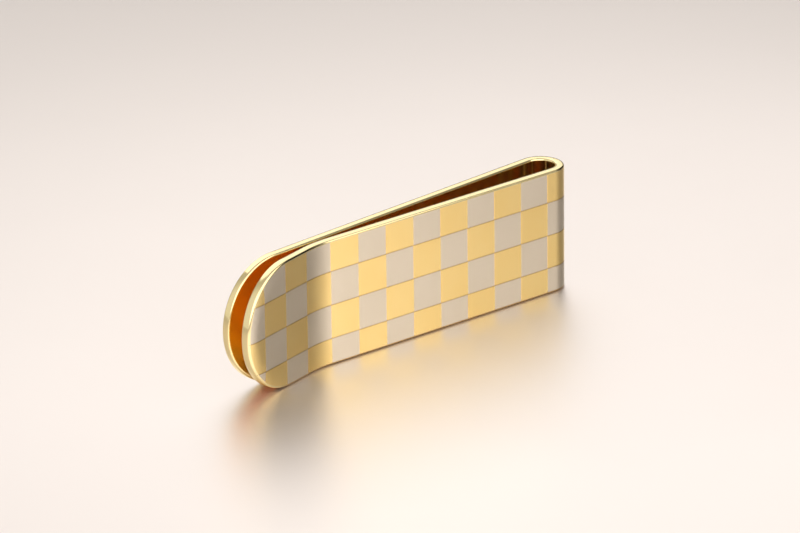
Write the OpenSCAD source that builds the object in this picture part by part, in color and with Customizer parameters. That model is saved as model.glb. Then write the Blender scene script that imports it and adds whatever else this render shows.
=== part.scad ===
// Spring money clip: one sprung steel strip folded over on itself, with a two-tone checkered front.
// Millimetres, +Z up. The clip stands on its long edge. The fold is at +X, the mouth at -X, the back
// leaf runs along X with its outer face towards +Y, and the checkered front leaf faces -Y.
// The origin is the middle of the clip's footprint, at the height of the edge it stands on.

/* [Strip] */
// Width of the strip, which is the clip's height when it stands on edge
strip_w = 16.4; // [15:0.1:20]
// Thickness of the strip
strip_t = 1.15; // [1:0.05:1.4]
// Chamfer that breaks the strip's long edges and tips
edge_break = 0.25; // [0.1:0.05:0.3]

/* [Leaves and fold] */
// Outer radius of the fold
fold_r = 3; // [2.8:0.1:3.4]
// Angle at which the front leaf closes towards the back leaf
pinch_angle = 5.05; // [4.7:0.05:5.15]
// Length of the back leaf from the centre of the fold to its tip
back_len = 52.7; // [50:0.1:56]
// Length of the front leaf, measured along its outer face from the centre of the fold to its tip
front_len = 53; // [51:0.1:56]

/* [Lip] */
// Radius at which the lip turns outwards
lip_r = 14.5; // [11:0.5:17]
// Angle of the lip against the flat stretch of the front leaf
lip_angle = 15.4; // [12:0.2:16]

/* [Checkered face] */
// Side of one square of the pattern
check = 4.4; // [4.3:0.05:4.5]
// Distance from the centre of the fold to the first upright line of the pattern
first_line = 1.45; // [1:0.05:1.8]
// Height of the lowest level line of the pattern above the edge the clip stands on
lowest_line = 3.5; // [3:0.1:3.9]
// Thickness of the plated squares, which lie in a shallow pocket and end flush with the face
plate_t = 0.1; // [0.08:0.01:0.15]
// Width of the fine line left open between neighbouring squares
line_gap = 0.12; // [0.08:0.01:0.2]
// Plain border between the pattern and the strip's edge
border = 0.32; // [0.31:0.01:0.5]

/* [Hidden] */
$fn = 96;

GOLD = "#f0c878";
STEEL = "#cdbba8";

rows = 4;                                 // row 1 is the highest
fold_column = 12;                         // columns run from 0 at the tip to this one, on the fold
lip_columns = 4;                          // columns 0 to 3 lie on the lip
tip_r = strip_w / 2;                      // the tips are full half-rounds
half_gap = line_gap / 2;
flat_len = first_line + (fold_column - lip_columns) * check;
turn_len = lip_r * lip_angle * PI / 180;
lip_len = front_len - flat_len - turn_len - tip_r;
wrap_angle = (check - first_line) * 180 / (PI * fold_r);

// How far the lip's inner corner lies from the fold's centre, which settles where the origin is
lip_reach = lip_len + tip_r;
rim_depth = strip_t - edge_break;
corner_x = flat_len + lip_r * sin(lip_angle) + lip_reach * cos(lip_angle) + rim_depth * sin(lip_angle);
corner_y = fold_r + lip_r * (1 - cos(lip_angle)) + lip_reach * sin(lip_angle) - rim_depth * cos(lip_angle);
reach = max(back_len, corner_x * cos(pinch_angle) + corner_y * sin(pinch_angle));
fold_x = (reach - fold_r) / 2;

// Height at which a row of squares starts and ends
function row_low(row) = row == rows ? border : lowest_line + (rows - 1 - row) * check + half_gap;
function row_high(row) = row == 1 ? strip_w - border : lowest_line + (rows - row) * check - half_gap;

// Distance from the fold's centre to the near and far side of a column, along the outer face
function column_near(column) = first_line + (fold_column - 1 - column) * check + half_gap;
function column_far(column) = first_line + (fold_column - column) * check - half_gap;

// A square is gold where its column and row add up to an odd number
function is_gold(column, row) = (column + row) % 2 == 1;

// Cross-section of the plain strip, with depth from the outer face as x and height as y
module strip_section() {
    c = edge_break;
    polygon([
        [c, 0], [strip_t - c, 0], [strip_t, c], [strip_t, strip_w - c],
        [strip_t - c, strip_w], [c, strip_w], [0, strip_w - c], [0, c]
    ]);
}

// Cross-section of the strip where its outer face has the shallow pocket that holds the squares
module pocket_section() {
    c = edge_break;
    polygon([
        [c, 0], [strip_t - c, 0], [strip_t, c], [strip_t, strip_w - c],
        [strip_t - c, strip_w], [c, strip_w], [0, strip_w - c], [0, strip_w - border],
        [plate_t, strip_w - border], [plate_t, border], [0, border], [0, c]
    ]);
}

// Cross-section of a square in one row
module check_section(row) {
    translate([0, row_low(row)]) square([plate_t, row_high(row) - row_low(row)]);
}

// Sweeps a section in a straight line towards -X, between two distances from x = 0
module straight(near, far) {
    translate([-far, 0, 0]) rotate([90, 0, 90]) linear_extrude(far - near) children();
}

// Sweeps a section from x = 0 back towards the flat stretch, round the turn of the lip
module lip_turn(length) {
    translate([0, -lip_r, 0]) rotate([0, 0, 90]) rotate_extrude(angle = -length * 180 / (PI * lip_r))
        translate([lip_r, 0]) children();
}

// Sweeps a section round the fold, depth counted inwards, from the end of the checkered wrap;
// positive angles go on towards the back leaf and negative ones towards the front leaf
module fold_sweep(angle) {
    translate([0, fold_r, 0]) rotate([0, 0, wrap_angle]) rotate([0, 0, -90])
        rotate_extrude(angle = angle) translate([fold_r, 0]) mirror([1, 0]) children();
}

// Turns a profile of radius and depth into a half-round end, outer face on y = 0, round side to -X
module half_round(profile) {
    rotate([-90, 0, 0]) rotate([0, 0, 90]) rotate_extrude(angle = 180) polygon(profile);
}

// The chamfered rim that both tips share, from the outer face to the inner face
function tip_rim() =
    let (c = edge_break)
    [[tip_r - c, 0], [tip_r, c], [tip_r, strip_t - c], [tip_r - c, strip_t], [0, strip_t]];

// Puts the front leaf, modelled with its outer face on y = 0, against the fold at its closing angle
module front_place() {
    translate([fold_x, 0, 0]) rotate([0, 0, -pinch_angle]) translate([0, -fold_r, 0]) children();
}

// Puts the lip, modelled with its outer face on y = 0 and the end of its turn at x = 0, on the leaf
module lip_place() {
    front_place() translate([-flat_len - lip_r * sin(lip_angle), lip_r * (cos(lip_angle) - 1), 0])
        rotate([0, 0, lip_angle]) children();
}

// The outline of the patterned area on the lip, as a cutter that leaves the border standing
module tip_outline() {
    depth = 4 * plate_t;
    translate([-lip_len, -depth / 2, tip_r]) rotate([-90, 0, 0]) cylinder(r = tip_r - border, h = depth);
    translate([-lip_len, -depth / 2, 0]) cube([tip_r, depth, strip_w]);
}

// One square on the flat stretch; the last column's share of the flat stretch ends at the fold
module flat_check(column, row) {
    straight(max(0, column_near(column)), column_far(column)) check_section(row);
}

// One square on the lip: the first column bends round the turn, the others are cut to the tip
module lip_check(column, row) {
    turn_end = flat_len + turn_len;
    if (column_near(column) < turn_end) {
        lip_turn(turn_end - column_near(column)) check_section(row);
        straight(0, column_far(column) - turn_end) check_section(row);
    } else {
        intersection() {
            straight(column_near(column) - turn_end, column_far(column) - turn_end) check_section(row);
            tip_outline();
        }
    }
}

// All the squares of one finish in one row of the front leaf
module check_row(row, gold) {
    front_place() for (column = [lip_columns : fold_column])
        if (is_gold(column, row) == gold) flat_check(column, row);
    lip_place() for (column = [0 : lip_columns - 1])
        if (is_gold(column, row) == gold) lip_check(column, row);
}

// Turns something about the fold's centre line
module rotate_about_fold(angle) {
    translate([0, fold_r, 0]) rotate([0, 0, angle]) translate([0, -fold_r, 0]) children();
}

// The squares of one finish in the column that wraps round the fold
module fold_checks(gold) {
    half_gap_angle = half_gap * 180 / (PI * fold_r);
    front_place() for (row = [1 : rows]) if (is_gold(fold_column, row) == gold)
        rotate_about_fold(-half_gap_angle) fold_sweep(half_gap_angle - wrap_angle) check_section(row);
}

// Flat rear leaf, from the centre of the fold to its half-round tip
module back_leaf() {
    color(GOLD) translate([fold_x, fold_r, 0]) mirror([0, 1, 0]) {
        straight(0, back_len - tip_r) strip_section();
        translate([tip_r - back_len, 0, tip_r]) half_round(concat([[0, 0]], tip_rim()));
    }
}

// The U-shaped spring that joins the leaves; the checkered column ends part of the way round it
module spring_fold() {
    color(GOLD) front_place() {
        fold_sweep(-wrap_angle) pocket_section();
        fold_sweep(180 + pinch_angle - wrap_angle) strip_section();
    }
}

// Flat stretch of the front leaf, with a shallow pocket for the squares
module front_leaf() {
    color(GOLD) front_place() straight(0, flat_len) pocket_section();
}

// Lip of the front leaf: its turn, its straight end and its half-round tip
module front_lip() {
    bed = [[0, plate_t], [tip_r - border, plate_t], [tip_r - border, 0]];
    color(GOLD) lip_place() {
        lip_turn(turn_len) pocket_section();
        straight(0, lip_len) pocket_section();
        translate([-lip_len, 0, tip_r]) half_round(concat(bed, tip_rim()));
    }
}

back_leaf();
spring_fold();
front_leaf();
front_lip();
color(GOLD) check_row(1, true);  // gold_checks_row_1
color(GOLD) check_row(2, true);  // gold_checks_row_2
color(GOLD) check_row(3, true);  // gold_checks_row_3
color(GOLD) check_row(4, true);  // gold_checks_row_4
color(STEEL) check_row(1, false);  // steel_checks_row_1
color(STEEL) check_row(2, false);  // steel_checks_row_2
color(STEEL) check_row(3, false);  // steel_checks_row_3
color(STEEL) check_row(4, false);  // steel_checks_row_4
color(GOLD) fold_checks(true);  // fold_gold_checks
color(STEEL) fold_checks(false);  // fold_steel_checks
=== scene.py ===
"""Looks of a folded, sprung money clip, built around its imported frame.

The clip is one strip of plated spring steel. Here the strip is laid out as a flat blank with rounded edges
and a shallow pocket, the satin squares are set in the pocket, and one Geometry Nodes group bends everything
round the fold, along the leaves and out to the lip. Metres throughout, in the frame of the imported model.
"""

import logging
import math
from dataclasses import dataclass, field
from enum import Enum
from typing import Optional, Union

import bmesh
import bpy
from bpy.types import ID, Material, Mesh, Node, NodeSocket, NodeTree, Object, World
from mathutils import Matrix, Vector


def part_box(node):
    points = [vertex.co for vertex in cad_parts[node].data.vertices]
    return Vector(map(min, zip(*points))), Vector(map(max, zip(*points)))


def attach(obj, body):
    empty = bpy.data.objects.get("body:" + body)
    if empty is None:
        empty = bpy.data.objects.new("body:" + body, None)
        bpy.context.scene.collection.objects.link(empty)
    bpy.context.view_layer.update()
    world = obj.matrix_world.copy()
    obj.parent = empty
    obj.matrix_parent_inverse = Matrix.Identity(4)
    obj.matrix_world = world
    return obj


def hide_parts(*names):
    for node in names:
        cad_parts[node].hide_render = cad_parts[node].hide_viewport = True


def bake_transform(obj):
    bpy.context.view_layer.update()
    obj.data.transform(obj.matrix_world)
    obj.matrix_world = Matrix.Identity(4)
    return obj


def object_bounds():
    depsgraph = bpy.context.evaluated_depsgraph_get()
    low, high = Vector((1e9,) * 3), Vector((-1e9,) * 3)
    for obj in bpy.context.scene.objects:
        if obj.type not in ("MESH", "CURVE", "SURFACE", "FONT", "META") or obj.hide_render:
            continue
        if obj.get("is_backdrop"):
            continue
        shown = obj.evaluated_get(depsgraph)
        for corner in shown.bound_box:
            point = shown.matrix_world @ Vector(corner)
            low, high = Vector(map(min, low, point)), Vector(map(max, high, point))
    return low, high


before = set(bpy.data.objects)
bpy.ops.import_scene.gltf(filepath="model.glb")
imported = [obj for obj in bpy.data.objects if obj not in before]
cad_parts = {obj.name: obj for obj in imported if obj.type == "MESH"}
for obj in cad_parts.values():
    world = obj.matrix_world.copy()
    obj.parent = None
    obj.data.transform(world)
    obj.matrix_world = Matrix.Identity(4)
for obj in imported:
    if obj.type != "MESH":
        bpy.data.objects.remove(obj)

LOG = logging.getLogger("money_clip")
MM = 0.001
ROUNDING = 1e-9  # slack in comparing places on the blank
WELD = 1e-7  # distance at which points are joined
SHORTEST = 1e-6  # smallest distance that counts
CREASE = math.radians(28)  # angle from which an edge stays sharp
BLANK_ATTRIBUTE = "blank"
BED_ATTRIBUTE = "bed"
FLOAT = "NodeSocketFloat"
INT = "NodeSocketInt"
VECTOR = "NodeSocketVector"
COLOUR = "NodeSocketColor"
GEOMETRY = "NodeSocketGeometry"
MATERIAL = "NodeSocketMaterial"
Colour = tuple[float, float, float, float]
Point = tuple[float, float, float]
Number = Union["Field", float]


class Tone(Enum):
    """The two plated finishes of the squares; the value is a square's column plus row, modulo 2."""

    STEEL = 0
    GOLD = 1

    @property
    def label(self) -> str:
        """The tone's name in the names of pieces."""
        return self.name.lower()

    @property
    def slot(self) -> str:
        """The record's material slot of the squares in this tone."""
        return f"satin_{self.label}"


class Body(Enum):
    """The bodies that pieces ride on."""

    BACK = "back"
    FRONT = "front"


# ---- Node trees ----


@dataclass
class Field:
    """A value that flows through a node tree and is combined with ordinary operators."""

    canvas: "NodeCanvas"
    socket: NodeSocket

    def __add__(self, other: Number) -> "Field":
        """Sum."""
        return self.canvas.math("ADD", self, other)

    def __sub__(self, other: Number) -> "Field":
        """Difference."""
        return self.canvas.math("SUBTRACT", self, other)

    def __mul__(self, other: Number) -> "Field":
        """Product."""
        return self.canvas.math("MULTIPLY", self, other)

    def __truediv__(self, other: Number) -> "Field":
        """Quotient."""
        return self.canvas.math("DIVIDE", self, other)

    def __neg__(self) -> "Field":
        """Opposite."""
        return self.canvas.math("MULTIPLY", self, -1.0)

    def sin(self) -> "Field":
        """Sine of an angle in radians."""
        return self.canvas.math("SINE", self)

    def cos(self) -> "Field":
        """Cosine of an angle in radians."""
        return self.canvas.math("COSINE", self)

    def abs(self) -> "Field":
        """Absolute value."""
        return self.canvas.math("ABSOLUTE", self)

    def above(self, low: Number) -> "Field":
        """The value, never less than low."""
        return self.canvas.math("MAXIMUM", self, low)

    def below(self, high: Number) -> "Field":
        """The value, never more than high."""
        return self.canvas.math("MINIMUM", self, high)


@dataclass
class NodeCanvas:
    """Places and links nodes in one tree, shader or geometry.

    Attributes:
        tree: The node tree being drawn.
    """

    tree: NodeTree
    _placed: int = 0

    SPACING = (220, -260)
    NODES_PER_ROW = 24

    def node(self, kind: str, inputs: Optional[dict] = None, **settings: object) -> Node:
        """Adds a node.

        Args:
            kind: The node's Blender type.
            inputs: Values, sockets or fields by the input's name or number.
            **settings: Properties of the node itself.

        Returns:
            The new node.
        """
        made = self.tree.nodes.new(kind)
        row, column = divmod(self._placed, self.NODES_PER_ROW)
        made.location = (self.SPACING[0] * column, self.SPACING[1] * row)
        self._placed += 1
        for name, value in settings.items():
            setattr(made, name, value)
        for key, value in (inputs or {}).items():
            self.feed(made.inputs[key], value)
        return made

    def feed(self, target: NodeSocket, value: object) -> None:
        """Links a field, a socket or a node's first output to an input, or sets the input's own value."""
        if isinstance(value, Field):
            value = value.socket
        elif isinstance(value, Node):
            value = value.outputs[0]
        if isinstance(value, NodeSocket):
            self.tree.links.new(value, target)
        else:
            target.default_value = value

    def value(self, socket: NodeSocket) -> Field:
        """Wraps a socket so that it can be used in sums."""
        return Field(self, socket)

    def math(self, operation: str, first: Number, second: Optional[Number] = None) -> Field:
        """Adds one Math node.

        Args:
            operation: The node's operation.
            first: The first operand.
            second: The second operand, where there is one.

        Returns:
            The node's result.
        """
        made = self.node("ShaderNodeMath", {0: first}, operation=operation)
        if second is not None:
            self.feed(made.inputs[1], second)
        return self.value(made.outputs[0])

    def vector(self, x: Number, y: Number, z: Number) -> NodeSocket:
        """Joins three values into a vector."""
        return self.node("ShaderNodeCombineXYZ", {"X": x, "Y": y, "Z": z}).outputs["Vector"]

    def parts(self, vector: object) -> tuple[Field, Field, Field]:
        """Splits a vector into its three values."""
        made = self.node("ShaderNodeSeparateXYZ", {0: vector})
        return self.value(made.outputs[0]), self.value(made.outputs[1]), self.value(made.outputs[2])

    def shrunk(self, vector: object, *sizes: Number) -> NodeSocket:
        """Divides a vector's three values by three sizes."""
        return self.vector(*(part / size for part, size in zip(self.parts(vector), sizes)))

    def in_mm(self, place: object) -> NodeSocket:
        """Turns a place in metres into one in millimetres."""
        return self.node("ShaderNodeVectorMath", {0: place, "Scale": 1 / MM}, operation="SCALE").outputs[0]

    def noise(self, place: object, detail: float, roughness: float = 0.5, distortion: float = 0.0,
              scale: float = 1.0) -> Field:
        """Adds a noise texture, one unit across unless it is scaled."""
        made = self.node("ShaderNodeTexNoise", {"Vector": place, "Scale": scale, "Detail": detail,
                                                "Roughness": roughness, "Distortion": distortion})
        return self.value(made.outputs[0])

    def ease(self, value: Number, low: Number, high: Number, at_low: float = 0.0, at_high: float = 1.0,
             kind: str = "SMOOTHSTEP") -> Field:
        """Leads from at_low to at_high while the value goes from low to high, and stays there."""
        inputs = {0: value, 1: low, 2: high, 3: at_low, 4: at_high}
        return self.value(self.node("ShaderNodeMapRange", inputs, interpolation_type=kind).outputs[0])

    def mix(self, share: Number, first: object, second: object) -> NodeSocket:
        """Mixes a share of a second colour into the first."""
        inputs = {"Factor": share, 6: first, 7: second}
        return self.node("ShaderNodeMix", inputs, data_type="RGBA").outputs[2]

    def group(self, tree: NodeTree, inputs: dict[str, object]) -> Node:
        """Places a node group and feeds its named inputs."""
        kind = "GeometryNodeGroup" if tree.bl_idname == "GeometryNodeTree" else "ShaderNodeGroup"
        return self.node(kind, inputs, node_tree=tree)

    def given(self, *names: str) -> list[Field]:
        """The tree's own inputs of those names, or all of them in order."""
        source = self.node("NodeGroupInput")
        return [self.value(source.outputs[name]) for name in names or input_identifiers(self.tree)]


def input_identifiers(tree: NodeTree) -> dict[str, str]:
    """The identifiers of a tree's inputs by their names, in order."""
    return {item.name: item.identifier for item in tree.interface.items_tree if item.in_out == "INPUT"}


def empty_canvas(owner: Union[Material, World]) -> NodeCanvas:
    """Clears the nodes of a material or a world for drawing."""
    owner.use_nodes = True
    owner.node_tree.nodes.clear()
    return NodeCanvas(owner.node_tree)


def new_tree(name: str, kind: str, inputs: dict[str, str], outputs: dict[str, str]) -> NodeCanvas:
    """Makes an empty node tree with a named interface.

    Args:
        name: The tree's name.
        kind: "GeometryNodeTree" or "ShaderNodeTree".
        inputs: Socket types by input name.
        outputs: Socket types by output name.

    Returns:
        A canvas on the new tree.
    """
    tree = bpy.data.node_groups.new(name, kind)
    for in_out, sockets in (("INPUT", inputs), ("OUTPUT", outputs)):
        for label, socket_type in sockets.items():
            tree.interface.new_socket(name=label, in_out=in_out, socket_type=socket_type)
    return NodeCanvas(tree)


# ---- The strip's plan ----


@dataclass(frozen=True)
class StripPlan:
    """Sizes of the strip, flat and bent.

    The flat blank runs along X: the front tip at -front_length, the fold from 0 to its full turn, and the
    back leaf beyond it. Y is the depth from the outer face and Z the height.

    Attributes:
        fold_x: Where the fold's centre line stands.
        fold_radius: Outer radius of the fold.
        width: Width of the strip, which is the clip's height.
        thickness: Thickness of the strip.
        back_length: Length of the back leaf from the fold's centre to its tip.
        pinch: Angle at which the front leaf closes towards the back leaf.
        front_length: Length of the front leaf, measured likewise.
        square: Side of a square of the pattern, from line to line.
        first_line, lowest_line: Where the lines nearest to the fold and to the standing edge lie.
        rows, lip_columns: How many rows of squares there are, and how many columns on the lip.
        fold_column: The column that runs on to the fold.
        lip_radius, lip_angle: How the lip turns outwards.
        rim_width, rim_angle: Width of the rim that rolls off at the front tip, and its angle at the end.
        border: Plain border between the pattern and the strip's edge.
        edge_radius: Radius of the rounded edges.
        pocket_depth, line_gap: Depth of the pocket and width of the lines between its squares.
    """

    fold_x: float
    fold_radius: float
    width: float
    thickness: float
    back_length: float
    pinch: float = math.radians(5.05)
    front_length: float = 53.0 * MM
    square: float = 4.4 * MM
    first_line: float = 1.45 * MM
    lowest_line: float = 3.5 * MM
    rows: int = 4
    fold_column: int = 12
    lip_columns: int = 4
    lip_radius: float = 14.5 * MM
    lip_angle: float = math.radians(15.4)
    rim_width: float = 1.9 * MM
    rim_angle: float = math.radians(17.0)
    border: float = 0.32 * MM
    edge_radius: float = 0.3 * MM
    pocket_depth: float = 0.04 * MM
    line_gap: float = 0.06 * MM

    @classmethod
    def from_frame(cls) -> "StripPlan":
        """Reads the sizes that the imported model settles."""
        low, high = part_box("back_leaf")
        return cls(
            fold_x=high.x,
            fold_radius=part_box("spring_fold")[1].y,
            width=high.z - low.z,
            thickness=high.y - low.y,
            back_length=high.x - low.x,
        )

    @property
    def tip_radius(self) -> float:
        """Radius of the half-round tips."""
        return self.width / 2

    @property
    def tip_centre(self) -> float:
        """Where the centre of the front tip lies on the blank."""
        return self.tip_radius - self.front_length

    @property
    def flat_length(self) -> float:
        """Length of the front leaf's flat stretch."""
        return self.first_line + (self.fold_column - self.lip_columns) * self.square

    @property
    def fold_turn(self) -> float:
        """Angle of the whole fold."""
        return math.pi + self.pinch

    @property
    def fold_length(self) -> float:
        """Length of the fold along its outer face."""
        return self.fold_turn * self.fold_radius

    @property
    def back_end(self) -> float:
        """Where the back leaf's tip lies on the blank."""
        return self.fold_length + self.back_length

    @property
    def wrap_end(self) -> float:
        """Where the pocket ends, part of the way round the fold."""
        return self.square - self.first_line

    def column_centre(self, column: int) -> float:
        """Middle of a column of squares on the blank; column 0 is at the tip."""
        return (column - self.fold_column + 0.5) * self.square - self.first_line

    def row_centre(self, row: int) -> float:
        """Middle of a row of squares above the standing edge; row 1 is the highest."""
        return self.lowest_line + (self.rows - row - 0.5) * self.square


@dataclass
class BendGroup:
    """The Geometry Nodes group that bends the flat blank into the clip.

    Attributes:
        plan: The strip's sizes.
        sizes: The group's own inputs for this clip, by name.
        canvas: Where the group is drawn.
    """

    plan: StripPlan
    sizes: dict[str, float] = field(init=False)
    canvas: NodeCanvas = field(init=False)

    def __post_init__(self) -> None:
        """Names the sizes and draws the group once."""
        plan = self.plan
        self.sizes = {
            "Fold X": plan.fold_x,
            "Fold Radius": plan.fold_radius,
            "Fold Turn": plan.fold_turn,
            "Pinch": plan.pinch,
            "Flat Length": plan.flat_length,
            "Lip Radius": plan.lip_radius,
            "Lip Angle": plan.lip_angle,
            "Tip Centre": plan.tip_centre,
            "Tip Radius": plan.tip_radius,
            "Rim Width": plan.rim_width,
            "Rim Angle": plan.rim_angle,
        }
        inputs = {"Geometry": GEOMETRY, **dict.fromkeys(self.sizes, FLOAT)}
        self.canvas = new_tree("bend_strip", "GeometryNodeTree", inputs, {"Geometry": GEOMETRY})
        self._draw()

    def _draw(self) -> None:
        """Moves each point of the blank to its place on the bent strip."""
        c = self.canvas
        (geometry, fold_x, fold_r, fold_turn, pinch, flat, lip_r, lip_a, tip_x, tip_r, rim_w,
         rim_a) = c.given()
        blank = c.node("GeometryNodeInputPosition").outputs[0]
        along, depth, height = c.parts(blank)

        # The rim of the front tip rolls off away from the outer face
        out, across = (tip_x - along).above(0.0), height - tip_r
        radius = c.math("SQRT", out * out + across * across).above(SHORTEST)
        near_rim = (rim_w - (tip_r - radius)).above(0.0)
        depth = depth + near_rim * near_rim / (rim_w * 2.0) * rim_a * (out / radius)

        # Each stretch of the strip adds its own share of the way and of the turn
        forward = -along
        turn = lip_r * lip_a
        flat_part = forward.above(0.0).below(flat)
        turned = (forward - flat).above(0.0).below(turn) / lip_r
        lip_part = (forward - (flat + turn)).above(0.0)
        folded = along.above(0.0).below(fold_r * fold_turn) / fold_r
        back_part = (along - fold_r * fold_turn).above(0.0)
        lean = folded + turned
        x = (fold_r * folded.sin() - flat_part - lip_r * turned.sin() - lip_part * lip_a.cos()
             + back_part * fold_turn.cos() - depth * lean.sin())
        y = (lip_r * (turned.cos() - 1.0) - fold_r * folded.cos() - lip_part * lip_a.sin()
             + back_part * fold_turn.sin() + depth * lean.cos())
        place = c.vector(fold_x + x * pinch.cos() + y * pinch.sin(), y * pinch.cos() - x * pinch.sin(),
                         height)

        noted = c.node(
            "GeometryNodeStoreNamedAttribute",
            {"Geometry": geometry, "Name": BLANK_ATTRIBUTE, "Value": blank},
            data_type="FLOAT_VECTOR", domain="POINT")
        moved = c.node("GeometryNodeSetPosition", {"Geometry": noted, "Position": place})
        c.node("NodeGroupOutput", {"Geometry": moved})


@dataclass
class ShapeTree:
    """A Geometry Nodes tree that a piece is made with: a start of its own, then the bend and the finish.

    Attributes:
        bend: The group that bends the blank.
        name: The tree's name.
        canvas: Where the tree is drawn.
    """

    bend: BendGroup
    name: str
    canvas: NodeCanvas = field(init=False)

    def _open(self, own: dict[str, str]) -> None:
        """Makes the interface, with the tree's own inputs before the bend's and the material."""
        inputs = {"Geometry": GEOMETRY, **own, **dict.fromkeys(self.bend.sizes, FLOAT), "Finish": MATERIAL}
        self.canvas = new_tree(self.name, "GeometryNodeTree", inputs, {"Geometry": GEOMETRY})

    def _close(self, flat: object) -> None:
        """Bends the flat geometry, realizes it and gives it its finish."""
        c = self.canvas
        *sizes, finish = c.given(*self.bend.sizes, "Finish")
        bent = c.group(self.bend.canvas.tree, {"Geometry": flat, **dict(zip(self.bend.sizes, sizes))})
        real = c.node("GeometryNodeRealizeInstances", {"Geometry": bent})
        dressed = c.node("GeometryNodeSetMaterial", {"Geometry": real, "Material": finish})
        c.node("NodeGroupOutput", {"Geometry": dressed})

    def apply(self, piece: Object, finish: Material, own: dict[str, object]) -> None:
        """Runs the tree on a piece and keeps its result as a plain mesh.

        Args:
            piece: The piece, whose mesh is the tree's input.
            finish: The material that the tree sets.
            own: The tree's own inputs, by name.
        """
        modifier = piece.modifiers.new(self.name, "NODES")
        modifier.node_group = self.canvas.tree
        identifiers = input_identifiers(self.canvas.tree)
        for name, value in {**self.bend.sizes, **own, "Finish": finish}.items():
            modifier[identifiers[name]] = value
        graph = bpy.context.evaluated_depsgraph_get()
        made = bpy.data.meshes.new_from_object(piece.evaluated_get(graph), depsgraph=graph)
        made.name = piece.name
        piece.modifiers.remove(modifier)
        piece.data = made


@dataclass
class BlankTree(ShapeTree):
    """Bends a blank that mesh code has already made."""

    def __post_init__(self) -> None:
        """Draws the tree."""
        self._open({})
        self._close(self.canvas.given("Geometry")[0])


@dataclass
class SquaresTree(ShapeTree):
    """Lays a line of equal squares on the blank, cuts them to the pocket's outline and bends them."""

    OUTLINE_FACETS = 256
    FACETS_ALONG = 20
    FACETS_UP = 12
    CUTTER_DEPTH = 8.0  # in depths of a square

    def __post_init__(self) -> None:
        """Draws the tree."""
        self._open({"Count": INT, "Start": VECTOR, "Step": VECTOR, "Square": FLOAT, "Gap": FLOAT,
                    "Depth": FLOAT, "Outline Radius": FLOAT, "Outline Centre": VECTOR,
                    "Outline Length": FLOAT})
        self._close(self._cut(self._laid()))

    def _laid(self) -> NodeSocket:
        """A line of square plates, still flat and whole."""
        c = self.canvas
        count, start, step, square, gap, depth = c.given("Count", "Start", "Step", "Square", "Gap", "Depth")
        side = square - gap
        plate = c.node("GeometryNodeMeshCube", {
            "Size": c.vector(side, depth, side),
            "Vertices X": self.FACETS_ALONG + 1, "Vertices Y": 2, "Vertices Z": self.FACETS_UP + 1})
        line = c.node("GeometryNodeMeshLine", {"Count": count, "Start Location": start, "Offset": step},
                      mode="OFFSET")
        placed = c.node("GeometryNodeInstanceOnPoints", {
            "Points": line, "Instance": plate})
        return c.node("GeometryNodeRealizeInstances", {"Geometry": placed}).outputs[0]

    def _cut(self, squares: NodeSocket) -> NodeSocket:
        """The squares that lie inside the pocket's outline, a slot with a half-round end."""
        c = self.canvas
        depth, radius, centre, length = c.given(
            "Depth", "Outline Radius", "Outline Centre", "Outline Length")
        drum = c.node("GeometryNodeMeshCylinder", {
            "Vertices": self.OUTLINE_FACETS, "Radius": radius, "Depth": depth * self.CUTTER_DEPTH})
        upright = c.node("GeometryNodeTransform", {
            "Geometry": drum, "Translation": centre, "Rotation": (math.pi / 2, 0.0, 0.0)})
        along = c.parts(c.node("GeometryNodeInputPosition").outputs[0])[0]
        far_side = c.math("GREATER_THAN", along - c.parts(centre)[0], SHORTEST)
        slot = c.node("GeometryNodeSetPosition", {
            "Geometry": upright, "Selection": far_side, "Offset": c.vector(length, 0.0, 0.0)})
        cut = c.node("GeometryNodeMeshBoolean", operation="INTERSECT", solver="EXACT")
        c.feed(cut.inputs["Mesh 2"], squares)
        c.feed(cut.inputs["Mesh 2"], slot)
        return cut.outputs[0]


# ---- The blank ----


@dataclass(frozen=True)
class Station:
    """One section of the blank, with the two points where it meets the outline.

    Attributes:
        along: Where the outline points lie along the blank.
        reach: Height of the upper outline point above the strip's middle.
        lean: Angle of the outline's normal, 0 at the tip's apex and a right angle on the straight edge.
        side: Which way the tip points, -1 or 1.
        pocket: Whether the outer face is sunk here.
    """

    along: float
    reach: float
    lean: float
    side: int
    pocket: bool

    def point(self, plan: StripPlan, inset: float, depth: float, upper: bool) -> Point:
        """A point inside the outline.

        Args:
            plan: The strip's sizes.
            inset: Distance inside the outline.
            depth: Depth from the outer face.
            upper: Whether it is taken from the upper outline point.

        Returns:
            The point on the flat blank.
        """
        height = self.reach - inset * math.sin(self.lean)
        along = self.along - self.side * inset * math.cos(self.lean)
        return along, depth, plan.width / 2 + (height if upper else -height)


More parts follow.
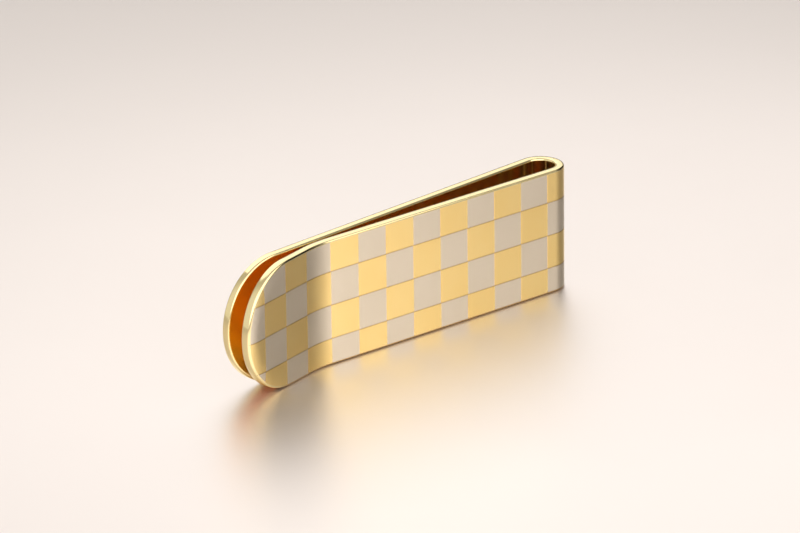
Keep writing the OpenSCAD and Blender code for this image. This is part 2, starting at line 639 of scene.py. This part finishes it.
@dataclass
class Blank:
    """A stretch of the flat strip with rounded edges, a pocket, and half-round tips where it has them.

    Attributes:
        plan: The strip's sizes.
        start: Where the stretch starts on the blank.
        end: Where it ends.
        tip_facets, edge_facets, face_facets: Facets of half a tip, round an edge and across a face.
        fine_step, coarse_step: Distance between sections where the strip is bent and where it isn't.
        bed_slack: How far off the pocket's floor a point may lie, as a share of its depth.
    """

    plan: StripPlan
    start: float
    end: float
    tip_facets: int = 72
    edge_facets: int = 6
    face_facets: int = 36
    fine_step: float = 0.16 * MM
    coarse_step: float = 2.2 * MM
    bed_slack: float = 0.1

    def mesh(self, name: str) -> Mesh:
        """Builds the closed blank.

        Args:
            name: Name of the mesh.

        Returns:
            The flat mesh, faces outwards, with an attribute that is 1 on the pocket's floor.
        """
        made = bmesh.new()
        rings = [[made.verts.new(point) for point in self._ring(station)] for station in self._stations()]
        count = len(rings[0])
        for near, far in zip(rings, rings[1:]):
            for i in range(count):
                j = (i + 1) % count
                made.faces.new((near[i], near[j], far[j], far[i]))
        for ring in (rings[0], rings[-1]):
            made.faces.new(ring)
        bmesh.ops.remove_doubles(made, verts=made.verts, dist=WELD)
        bmesh.ops.dissolve_degenerate(made, edges=made.edges, dist=WELD)
        bmesh.ops.recalc_face_normals(made, faces=made.faces)
        mesh = bpy.data.meshes.new(name)
        made.to_mesh(mesh)
        made.free()
        sunk = mesh.attributes.new(BED_ATTRIBUTE, "FLOAT", "POINT")
        sunk.data.foreach_set("value", [float(self._in_bed(vertex.co)) for vertex in mesh.vertices])
        return mesh

    def _in_bed(self, place: Vector) -> bool:
        """Whether a point of the blank lies on the floor of the pocket."""
        plan = self.plan
        level = abs(place.y - plan.pocket_depth) < plan.pocket_depth * self.bed_slack
        inside = abs(place.z - plan.tip_radius) < plan.tip_radius - plan.border / 2
        return level and inside and place.x <= plan.wrap_end + ROUNDING

    def _stations(self) -> list[Station]:
        """Sections from one end of the stretch to the other."""
        plan, facets = self.plan, self.tip_facets
        stations: list[Station] = []
        low = self.start
        right = math.pi / 2
        if self.start <= -plan.front_length:
            low = plan.tip_centre
            stations += [self._tip_station(low, right * i / facets, -1) for i in range(facets)]
        stations += [Station(along, plan.tip_radius, right, -1, along <= plan.wrap_end)
                     for along in self._steps(low, self.end)]
        if self.start < plan.wrap_end < self.end:
            at = next(i for i, s in enumerate(stations) if s.along > plan.wrap_end - ROUNDING)
            stations[at:at + 1] = [Station(plan.wrap_end, plan.tip_radius, right, -1, sunk)
                                   for sunk in (True, False)]
        if self.end >= plan.back_end:
            centre = plan.back_end - plan.tip_radius
            stations = [s for s in stations if s.along < centre - ROUNDING]
            stations += [self._tip_station(centre, right * (facets - i) / facets, 1)
                         for i in range(facets + 1)]
        return stations

    def _tip_station(self, centre: float, lean: float, side: int) -> Station:
        """A section through a half-round tip, where the outline leans by that angle."""
        radius = self.plan.tip_radius
        along = centre + side * radius * math.cos(lean)
        return Station(along, radius * math.sin(lean), lean, side, side < 0)

    def _steps(self, low: float, high: float) -> list[float]:
        """Places along the straight edges, close together wherever the strip will be bent."""
        plan, fine, coarse = self.plan, self.fine_step, self.coarse_step
        turn_end = -plan.flat_length
        ends = (-plan.front_length, turn_end - plan.lip_radius * plan.lip_angle, turn_end, 0.0,
                plan.wrap_end, plan.fold_length, plan.back_end)
        marks = {low, high}
        for near, far, step in zip(ends, ends[1:], (coarse, fine, coarse, fine, fine, coarse)):
            count = max(1, round((far - near) / step))
            marks.update(near + (far - near) * i / count for i in range(count + 1))
        inside = sorted(mark for mark in marks if low <= mark <= high)
        kept = [inside[0]]
        for mark in inside[1:]:
            if mark - kept[-1] > SHORTEST:
                kept.append(mark)
        return kept

    def _ring(self, station: Station) -> list[Point]:
        """The section's points, down the outer face and back up the inner one."""
        plan = self.plan
        bed = plan.pocket_depth if station.pocket else 0.0
        edge = plan.edge_radius
        corner = [math.pi / 2 * i / self.edge_facets for i in range(self.edge_facets + 1)]
        outer = [(edge * (1 - math.sin(a)), edge * (1 - math.cos(a))) for a in corner]
        inner = [(edge * (1 - math.cos(a)), plan.thickness - edge * (1 - math.sin(a))) for a in corner]
        side = [(plan.border, bed), (plan.border, 0.0)] + outer + inner + [(plan.border, plan.thickness)]
        lower = [station.point(plan, inset, depth, False) for inset, depth in side]
        upper = [station.point(plan, inset, depth, True) for inset, depth in side]
        ring = self._across(upper[0], lower[0]) + lower
        ring += self._across(lower[-1], upper[-1]) + upper[::-1]
        return ring

    def _across(self, first: Point, last: Point) -> list[Point]:
        """Points between two others, across a face."""
        shares = (i / self.face_facets for i in range(1, self.face_facets))
        return [tuple(a + (b - a) * share for a, b in zip(first, last)) for share in shares]


# ---- Finishes ----


class ShaderEffects:
    """Shader node groups for the effects that several finishes share, each built once."""

    STREAK = (5.0, 3.0)  # how much wider and longer than a brushed line a streak is
    WHOLE_SQUARES = 100.0  # keeps a place counted in squares above 0
    FULL_PATINA = 0.35  # share of its height where the painted shade along the standing edge starts to fade
    HAIR_SIZE = (1 / 0.6, 1 / 14.0, 1 / 14.0)  # of a polishing scratch, in millimetres

    def __init__(self) -> None:
        """Draws every group."""
        self.brushed_lines = self._brushed_lines()
        self.cloudy_tone = self._cloudy_tone()
        self.worn_edge = self._worn_edge()
        self.edge_patina = self._edge_patina()
        self.smudges = self._smudges()

    def _brushed_lines(self) -> NodeTree:
        """Fine parallel lines: a height for bump and a slow tone that follows the same direction."""
        c = new_tree("brushed_lines", "ShaderNodeTree",
                     {"Place": VECTOR, "Pitch": FLOAT, "Stretch": FLOAT},
                     {"Height": FLOAT, "Streak": FLOAT})
        place, pitch, stretch = c.given()
        wider, longer = self.STREAK
        fine = c.shrunk(place, pitch, pitch, pitch * stretch)
        slow = c.shrunk(place, pitch * wider, pitch * wider, pitch * stretch * longer)
        c.node("NodeGroupOutput", {"Height": c.noise(fine, detail=3.0, roughness=0.6),
                                   "Streak": c.noise(slow, detail=2.0)})
        return c.tree

    @staticmethod
    def _cloudy_tone() -> NodeTree:
        """Slow drifts of a colour towards another, as plating has."""
        c = new_tree("cloudy_tone", "ShaderNodeTree",
                     {"Place": VECTOR, "Colour": COLOUR, "Drift Colour": COLOUR, "Size": FLOAT,
                      "Amount": FLOAT}, {"Colour": COLOUR})
        place, colour, drift, size, amount = c.given()
        cloud = c.noise(c.shrunk(place, size, size, size), detail=4.0, roughness=0.55)
        mask = c.ease(cloud, low=0.35, high=0.65)
        c.node("NodeGroupOutput", {"Colour": c.mix(mask * amount, colour, drift)})
        return c.tree

    def _worn_edge(self) -> NodeTree:
        """Masks for painted shade and painted highlight at a square pattern's lines: 1 at the level and the
        upright lines, fading unevenly.
        """
        c = new_tree("worn_edge", "ShaderNodeTree",
                     {"Place": VECTOR, "Square": FLOAT, "Line X": FLOAT, "Line Z": FLOAT, "Reach": FLOAT},
                     {"Level": FLOAT, "Upright": FLOAT})
        place, square, line_x, line_z, reach = c.given()
        x, _, z = c.parts(place)
        uneven = c.noise(place, detail=3.0, scale=2.2) + 0.5
        masks = {}
        for name, value, line in (("Upright", x, line_x), ("Level", z, line_z)):
            share = c.math("FRACT", (value - line) / square + self.WHOLE_SQUARES)
            distance = (-(share - 0.5).abs() + 0.5) * square
            masks[name] = c.ease(distance * uneven, 0.0, reach, at_low=1.0, at_high=0.0)
        c.node("NodeGroupOutput", masks)
        return c.tree

    def _edge_patina(self) -> NodeTree:
        """A mask for the painted shade along the edge the strip stands on: 1 there, fading unevenly above
        it.
        """
        c = new_tree("edge_patina", "ShaderNodeTree", {"Place": VECTOR, "Height": FLOAT}, {"Mask": FLOAT})
        place, top = c.given()
        uneven = c.noise(c.shrunk(place, 1.25, 1.0, 1.0), detail=2.0) * 0.5 + 0.75
        mask = c.ease(c.parts(place)[2] * uneven, top * self.FULL_PATINA, top, at_low=1.0, at_high=0.0)
        c.node("NodeGroupOutput", {"Mask": mask})
        return c.tree

    def _smudges(self) -> NodeTree:
        """Faint handling marks: a mask of soft patches crossed by hair-fine polishing scratches."""
        c = new_tree("smudges", "ShaderNodeTree", {"Place": VECTOR, "Size": FLOAT, "Scratches": FLOAT},
                     {"Mask": FLOAT})
        place, size, scratches = c.given()
        patch = c.noise(c.shrunk(place, size, size, size), detail=5.0, distortion=0.8)
        hair = c.noise(c.shrunk(place, *self.HAIR_SIZE), detail=2.0)
        fine = c.ease(hair, low=0.58, high=0.7, kind="LINEAR") * scratches
        c.node("NodeGroupOutput", {"Mask": (c.ease(patch, low=0.45, high=0.7) + fine).below(1.0)})
        return c.tree


@dataclass(frozen=True)
class MetalFinish:
    """A plated metal finish.

    Attributes:
        name: The material's name.
        colour, drift: Colour of the metal, and the one its plating drifts towards in patches.
        roughness, haze: Lowest roughness, and how much rougher the handling marks are.
        pitch, stretch: Pitch of the brushed lines, in millimetres, and their length in pitches.
        relief, streaks: How much the brushing shows as bump and in the roughness.
        scratches: Strength of the hair-fine polishing scratches.
        level_line, upright_line: How strong the painted shade along a square's level edges and the painted
            highlight along its upright edges are.
        patina: How dark the painted shade along the edge the strip stands on is.
        line_colour, bright_line: Colours of the painted shade and of the painted highlight.
    """

    name: str
    colour: Colour
    drift: Colour
    roughness: float
    haze: float
    pitch: float
    stretch: float
    relief: float
    streaks: float
    scratches: float
    level_line: float = 0.0
    upright_line: float = 0.0
    patina: float = 0.0
    line_colour: Colour = (0.42, 0.25, 0.1, 1.0)
    bright_line: Colour = (1.0, 0.84, 0.5, 1.0)

    # Sizes and reaches are in millimetres
    CLOUD_SIZE, CLOUD_SHARE = 5.5, 0.7  # of the patches, and how far they drift
    MARK_SIZE = 4.5  # of the handling marks
    LINE_REACH = 0.2  # of the painted shade and highlight at a line
    DIRT_REACH, DIRT_SHARE = 0.12, 0.8  # of the painted shade in the pocket's level lines, and how dark it is
    PATINA_REACH, PATINA_ROUGHNESS = 0.5, 0.3  # of the painted shade along the standing edge, and how much rougher that band is
    RELIEF_DEPTH = 0.25  # of the brushed lines, in pitches
    SMOOTHEST = 0.02  # the lowest roughness

    def material(self, effects: ShaderEffects, plan: StripPlan) -> Material:
        """Builds the material.

        Args:
            effects: The shared shader groups.
            plan: The strip's sizes, for the lines of the pattern.

        Returns:
            The finished material.
        """
        made = bpy.data.materials.new(self.name)
        c = empty_canvas(made)
        place = c.in_mm(c.node("ShaderNodeAttribute", attribute_name=BLANK_ATTRIBUTE).outputs["Vector"])
        pattern = {"Place": place, "Square": plan.square / MM, "Line X": -plan.first_line / MM,
                   "Line Z": plan.lowest_line / MM}
        lines = c.group(effects.brushed_lines, {
            "Place": place, "Pitch": self.pitch, "Stretch": self.stretch})
        tone = c.group(effects.cloudy_tone, {
            "Place": place, "Colour": self.colour, "Drift Colour": self.drift, "Size": self.CLOUD_SIZE,
            "Amount": self.CLOUD_SHARE})
        marks = c.group(effects.smudges, {
            "Place": place, "Size": self.MARK_SIZE, "Scratches": self.scratches})
        colour = tone.outputs["Colour"]
        # Painted shade along the level lines between the squares and a painted highlight along the upright
        # ones.
        if self.level_line:
            worn = c.group(effects.worn_edge, {**pattern, "Reach": self.LINE_REACH})
            colour = c.mix(c.value(worn.outputs["Upright"]) * self.upright_line, colour, self.bright_line)
            colour = c.mix(c.value(worn.outputs["Level"]) * self.level_line, colour, self.line_colour)
        roughness = (c.value(marks.outputs["Mask"]) * self.haze
                     + (c.value(lines.outputs["Streak"]) - 0.5) * self.streaks + self.roughness)
        # Painted shade where the strip stands on the floor, darker towards the standing edge, and painted
        # shade in the pocket's level lines; the shaded band is also made rougher.
        if self.patina:
            dull = c.group(effects.edge_patina, {"Place": place, "Height": self.PATINA_REACH})
            # Painted shade on the pocket's floor where it shows in the level lines between the squares.
            near = c.group(effects.worn_edge, {**pattern, "Reach": self.DIRT_REACH})
            bed = c.node("ShaderNodeAttribute", attribute_name=BED_ATTRIBUTE)
            dirt = c.value(bed.outputs["Fac"]) * c.value(near.outputs["Level"]) * self.DIRT_SHARE
            dark = (c.value(dull.outputs["Mask"]) * self.patina).above(dirt)
            colour = c.mix(dark, colour, self.line_colour)
            roughness = roughness + dark * self.PATINA_ROUGHNESS
        bump = c.node("ShaderNodeBump", {
            "Strength": self.relief, "Distance": self.pitch * MM * self.RELIEF_DEPTH,
            "Height": lines.outputs["Height"]})
        shader = c.node("ShaderNodeBsdfPrincipled", {
            "Base Color": colour, "Metallic": 1.0, "Roughness": roughness.above(self.SMOOTHEST),
            "Normal": bump})
        c.node("ShaderNodeOutputMaterial", {"Surface": shader})
        return made


# The polished gold has painted shade along its standing edge; the satin finishes have painted shade on
# their level lines and a painted highlight on their upright lines.
POLISHED_GOLD = MetalFinish(
    name="polished_gold_plating", colour=(0.945, 0.79, 0.43, 1.0), drift=(0.94, 0.77, 0.39, 1.0),
    roughness=0.12, haze=0.06, pitch=0.05, stretch=30.0, relief=0.05, streaks=0.04, scratches=0.3,
    patina=0.85)
SATIN_GOLD = MetalFinish(
    name="satin_gold_plating", colour=(0.985, 0.745, 0.31, 1.0), drift=(0.98, 0.72, 0.28, 1.0),
    roughness=0.22, haze=0.03, pitch=0.06, stretch=80.0, relief=0.03, streaks=0.03, scratches=0.0,
    level_line=0.35, upright_line=0.3)
SATIN_STEEL = MetalFinish(
    name="satin_steel_face", colour=(0.78, 0.7, 0.565, 1.0), drift=(0.76, 0.68, 0.54, 1.0),
    roughness=0.3, haze=0.03, pitch=0.06, stretch=80.0, relief=0.04, streaks=0.03, scratches=0.0,
    level_line=0.3, upright_line=0.12, bright_line=(0.95, 0.84, 0.66, 1.0))


@dataclass(frozen=True)
class PlateFinish:
    """The pale satin plate that the clip stands on.

    Attributes:
        name: The material's name.
        colour, rim_colour: Colours near the clip and far from it; the plate is painted darker away from the
            clip, a painted pool of light.
        drift: Colour that it drifts towards in patches.
        cloud_size, cloud_share: Size of the patches, in millimetres, and how far they drift.
        metallic, roughness: As in the shader.
        pool_centre: Middle of the painted pool of light near the clip, in millimetres.
        pool_reach: Where the painted falloff colour starts and is reached, in millimetres from there.
    """

    name: str = "pale_satin_plate"
    colour: Colour = (0.93, 0.86, 0.815, 1.0)
    drift: Colour = (0.95, 0.88, 0.835, 1.0)
    cloud_size: float = 60.0
    cloud_share: float = 0.6
    rim_colour: Colour = (0.64, 0.59, 0.555, 1.0)
    metallic: float = 0.94
    roughness: float = 0.44
    pool_centre: tuple[float, float] = (26.0, -22.0)
    pool_reach: tuple[float, float] = (40.0, 190.0)

    def material(self, effects: ShaderEffects) -> Material:
        """Builds the material.

        Args:
            effects: The shared shader groups.

        Returns:
            The finished material.
        """
        made = bpy.data.materials.new(self.name)
        c = empty_canvas(made)
        place = c.in_mm(c.node("ShaderNodeTexCoord").outputs["Object"])
        tone = c.group(effects.cloudy_tone, {
            "Place": place, "Colour": self.colour, "Drift Colour": self.drift, "Size": self.cloud_size,
            "Amount": self.cloud_share})
        # The plate is painted lighter round a spot near the clip and darker away from it: a painted pool of
        # light, which the clip also mirrors.
        x, y, _ = c.parts(place)
        away_x, away_y = x - self.pool_centre[0], y - self.pool_centre[1]
        away = c.math("SQRT", away_x * away_x + away_y * away_y)
        shader = c.node("ShaderNodeBsdfPrincipled", {
            "Base Color": c.mix(c.ease(away, *self.pool_reach), tone.outputs["Colour"], self.rim_colour),
            "Metallic": self.metallic, "Roughness": self.roughness})
        c.node("ShaderNodeOutputMaterial", {"Surface": shader})
        return made


# ---- Sub-assemblies ----


def new_piece(name: str, data: ID) -> Object:
    """Puts a mesh, a light or a camera in the scene at the origin."""
    piece = bpy.data.objects.new(name, data)
    bpy.context.scene.collection.objects.link(piece)
    return piece


def smooth(piece: Object) -> None:
    """Shades a piece smooth but for its sharp edges."""
    piece.data.shade_smooth()
    piece.data.set_sharp_from_angle(angle=CREASE)


def report(piece: Object) -> None:
    """Logs a finished piece."""
    LOG.info("%s: %d vertices, %d faces", piece.name, len(piece.data.vertices), len(piece.data.polygons))


@dataclass
class Workshop:
    """What every sub-assembly needs to make its pieces.

    Attributes:
        plan: The strip's sizes.
        blank_tree: The tree that bends a blank.
        squares_tree: The tree that makes a line of squares.
        polished_gold: Material of the strip.
        satin: Material of the squares, by tone.
    """

    plan: StripPlan
    blank_tree: BlankTree
    squares_tree: SquaresTree
    polished_gold: Material
    satin: dict[Tone, Material]

    @classmethod
    def opened(cls, effects: ShaderEffects) -> "Workshop":
        """Reads the frame, draws the trees and mixes the finishes."""
        plan = StripPlan.from_frame()
        bend = BendGroup(plan)
        return cls(
            plan=plan,
            blank_tree=BlankTree(bend, "bent_blank"),
            squares_tree=SquaresTree(bend, "bent_squares"),
            polished_gold=POLISHED_GOLD.material(effects, plan),
            satin={Tone.GOLD: SATIN_GOLD.material(effects, plan),
                   Tone.STEEL: SATIN_STEEL.material(effects, plan)},
        )

    def strip(self, name: str, start: float, end: float) -> Object:
        """Makes a bent stretch of the strip between two places on the blank."""
        piece = new_piece(name, Blank(self.plan, start, end).mesh(name))
        self.blank_tree.apply(piece, self.polished_gold, {})
        smooth(piece)
        return piece

    def squares(self, name: str, tone: Tone, count: int, start: Vector, step: Vector) -> Object:
        """Makes a line of plated squares.

        Args:
            name: Name of the piece.
            tone: Finish of the squares.
            count: How many squares there are.
            start: Middle of the first square's face on the blank.
            step: From one square to the next.

        Returns:
            The bent squares as one piece.
        """
        plan = self.plan
        half = Vector((0.0, plan.pocket_depth / 2, 0.0))
        piece = new_piece(name, bpy.data.meshes.new(name))
        self.squares_tree.apply(piece, self.satin[tone], {
            "Count": count,
            "Start": tuple(start + half),
            "Step": tuple(step),
            "Square": plan.square,
            "Gap": plan.line_gap,
            "Depth": plan.pocket_depth,
            "Outline Radius": plan.tip_radius - plan.border,
            "Outline Centre": (plan.tip_centre, 0.0, plan.tip_radius),
            "Outline Length": plan.front_length * 2,
        })
        smooth(piece)
        return piece


@dataclass
class BackLeaf:
    """The plain rear leaf, from just short of the fold to its half-round tip."""

    workshop: Workshop

    def build(self) -> list[Object]:
        """Makes the leaf and puts it on its body."""
        plan = self.workshop.plan
        piece = self.workshop.strip("back_leaf_strip", plan.fold_length + plan.first_line, plan.back_end)
        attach(piece, Body.BACK.value)
        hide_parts("back_leaf")
        return [piece]


@dataclass
class SpringFold:
    """The sprung fold, with the squares that wrap round it."""

    workshop: Workshop
    bend_share: float = 0.56

    def build(self) -> list[Object]:
        """Makes the fold and its squares."""
        shop, plan = self.workshop, self.workshop.plan
        strip = shop.strip("fold_strip", -plan.first_line, plan.fold_length + plan.first_line)
        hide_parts("spring_fold")
        made = [strip]
        for tone, node in ((Tone.GOLD, "fold_gold_checks"), (Tone.STEEL, "fold_steel_checks")):
            rows = [row for row in range(1, plan.rows + 1) if (plan.fold_column + row) % 2 == tone.value]
            start = Vector((plan.column_centre(plan.fold_column), 0.0, plan.row_centre(rows[-1])))
            name = f"fold_{tone.label}_squares"
            squares = shop.squares(name, tone, len(rows), start, Vector((0.0, 0.0, 2 * plan.square)))
            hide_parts(node)
            made.append(squares)
        reach = plan.fold_radius * self.bend_share
        for piece in made:
            -reach
            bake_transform(piece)
        return made


@dataclass
class FrontLeaf:
    """The checkered front leaf with its turned-out lip."""

    workshop: Workshop

    def build(self) -> list[Object]:
        """Makes the leaf and the squares of each row and puts them on their body."""
        shop, plan = self.workshop, self.workshop.plan
        strip = shop.strip("front_leaf_strip", -plan.front_length, -plan.first_line)
        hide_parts("front_leaf", "front_lip")
        made = [strip]
        for row in range(1, plan.rows + 1):
            made += [self._row(row, tone) for tone in Tone]
        for piece in made:
            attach(piece, Body.FRONT.value)
        return made

    def _row(self, row: int, tone: Tone) -> Object:
        """Makes the squares of one tone in one row."""
        plan = self.workshop.plan
        columns = [column for column in range(plan.fold_column) if (column + row) % 2 == tone.value]
        start = Vector((plan.column_centre(columns[0]), 0.0, plan.row_centre(row)))
        piece = self.workshop.squares(f"{tone.label}_squares_row_{row}", tone, len(columns), start,
                                      Vector((2 * plan.square, 0.0, 0.0)))
        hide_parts(f"{tone.label}_checks_row_{row}")
        return piece


# ---- Studio ----


@dataclass(frozen=True)
class SoftBox:
    """A rectangular soft light that faces the clip.

    Attributes:
        name: The light's name.
        azimuth, elevation: Angles from +X towards +Y and above the floor, in degrees.
        distance: Distance from the clip.
        width, height: Its level side and the other one.
        radiance, tint: Brightness and colour of its face.
    """

    name: str
    azimuth: float
    elevation: float
    distance: float
    width: float
    height: float
    radiance: float
    tint: tuple[float, float, float] = (1.0, 1.0, 1.0)

    def build(self, target: Vector) -> None:
        """Makes the light, unseen by the camera itself."""
        light = bpy.data.lights.new(self.name, "AREA")
        light.shape = "RECTANGLE"
        light.size, light.size_y = self.width, self.height
        light.energy = self.radiance * math.pi * self.width * self.height
        light.color = self.tint
        lamp = new_piece(self.name, light)
        a, e = math.radians(self.azimuth), math.radians(self.elevation)
        away = Vector((math.cos(a) * math.cos(e), math.sin(a) * math.cos(e), math.sin(e)))
        lamp.location = target + away * self.distance
        lamp.rotation_euler = away.to_track_quat("Z", "Y").to_euler()
        lamp.visible_camera = False


@dataclass
class Studio:
    """Floor, soft light and camera.

    Attributes:
        centre: Middle of the clip.
        effects: The shared shader groups.
        floor_half: Half of the floor's side.
        bounces: How often light may bounce.
        azimuth, elevation, roll: The camera's angles, in degrees; azimuth 0 looks along +Y.
        distance, aim_offset: Its distance from its aim, and the aim's place from the centre.
        lens, sensor: Its focal length and the width of its sensor, in millimetres.
        clip_range: Nearest and farthest distance that it sees.
        surround: Colour of the surround.
        dimming, glow: Two places along X in the surround, and its strength at each.
        boxes: The soft lights.
    """

    centre: Vector
    effects: ShaderEffects
    floor_half: float = 14.0
    bounces: int = 24
    azimuth: float = -44.96
    elevation: float = 21.35
    roll: float = -0.70
    distance: float = 0.8052
    lens: float = 292.5
    sensor: float = 36.0
    clip_range: tuple[float, float] = (0.01, 100.0)
    aim_offset: Point = (2.339 * MM, 2.401 * MM, 0.179 * MM)
    surround: Colour = (1.0, 0.975, 0.95, 1.0)
    dimming: tuple[float, ...] = (0.45, 0.85, 0.52, 0.02)
    glow: tuple[float, ...] = (-0.6, -0.2, 0.3, 0.0)
    boxes: tuple[SoftBox, ...] = (
        SoftBox("back_box", 49.0, 42.0, 1.6, 1.9, 1.5, 1.02, (1.0, 0.985, 0.97)),
        SoftBox("front_box", -105.0, 36.0, 0.13, 0.27, 0.147, 1.24, (1.0, 0.99, 0.98)),
    )

    def build(self) -> None:
        """Makes the whole studio."""
        self._floor()
        self._world()
        for box in self.boxes:
            box.build(self.centre)
        self._camera()
        scene = bpy.context.scene
        scene.view_settings.view_transform = "Standard"
        scene.cycles.max_bounces = scene.cycles.glossy_bounces = self.bounces

    def _floor(self) -> None:
        """A wide plate that the clip stands on."""
        mesh = bpy.data.meshes.new("floor")
        half = self.floor_half
        corners = [(-half, -half, 0.0), (half, -half, 0.0), (half, half, 0.0), (-half, half, 0.0)]
        mesh.from_pydata(corners, [], [(0, 1, 2, 3)])
        floor = new_piece("floor", mesh)
        mesh.materials.append(PlateFinish().material(self.effects))
        floor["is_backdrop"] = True

    def _world(self) -> None:
        """A pale surround that is dim beyond the fold and brighter beyond the mouth."""
        world = bpy.data.worlds.new("surround")
        bpy.context.scene.world = world
        c = empty_canvas(world)
        x, _, _ = c.parts(c.node("ShaderNodeTexCoord").outputs["Generated"])
        light = c.node("ShaderNodeBackground", {
            "Color": self.surround, "Strength": c.ease(x, *self.dimming) + c.ease(x, *self.glow)})
        c.node("ShaderNodeOutputWorld", {"Surface": light})

    def _camera(self) -> None:
        """Looks down at the checkered side from the mouth's end."""
        a, e = math.radians(self.azimuth), math.radians(self.elevation)
        back = Vector((math.sin(a) * math.cos(e), -math.cos(a) * math.cos(e), math.sin(e)))
        right = Vector((0.0, 0.0, 1.0)).cross(back).normalized()
        up = back.cross(right)
        turn = math.radians(self.roll)
        tilted_right = right * math.cos(turn) + up * math.sin(turn)
        tilted_up = up * math.cos(turn) - right * math.sin(turn)
        lens = bpy.data.cameras.new("camera")
        lens.lens, lens.sensor_width = self.lens, self.sensor
        lens.clip_start, lens.clip_end = self.clip_range
        camera = new_piece("camera", lens)
        place = self.centre + Vector(self.aim_offset) + back * self.distance
        camera.matrix_world = Matrix.Translation(place) @ Matrix(
            (tilted_right, tilted_up, back)).transposed().to_4x4()
        bpy.context.scene.camera = camera


# ---- The whole clip ----


def main() -> None:
    """Builds the clip and its studio round the middle of the imported model's box."""
    logging.basicConfig(level=logging.INFO, format="%(name)s %(message)s")
    cad_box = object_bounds()
    effects = ShaderEffects()
    workshop = Workshop.opened(effects)
    for part in (BackLeaf(workshop), SpringFold(workshop), FrontLeaf(workshop)):
        for piece in part.build():
            report(piece)
    Studio((cad_box[0] + cad_box[1]) / 2, effects).build()


if __name__ == "__main__":
    main()
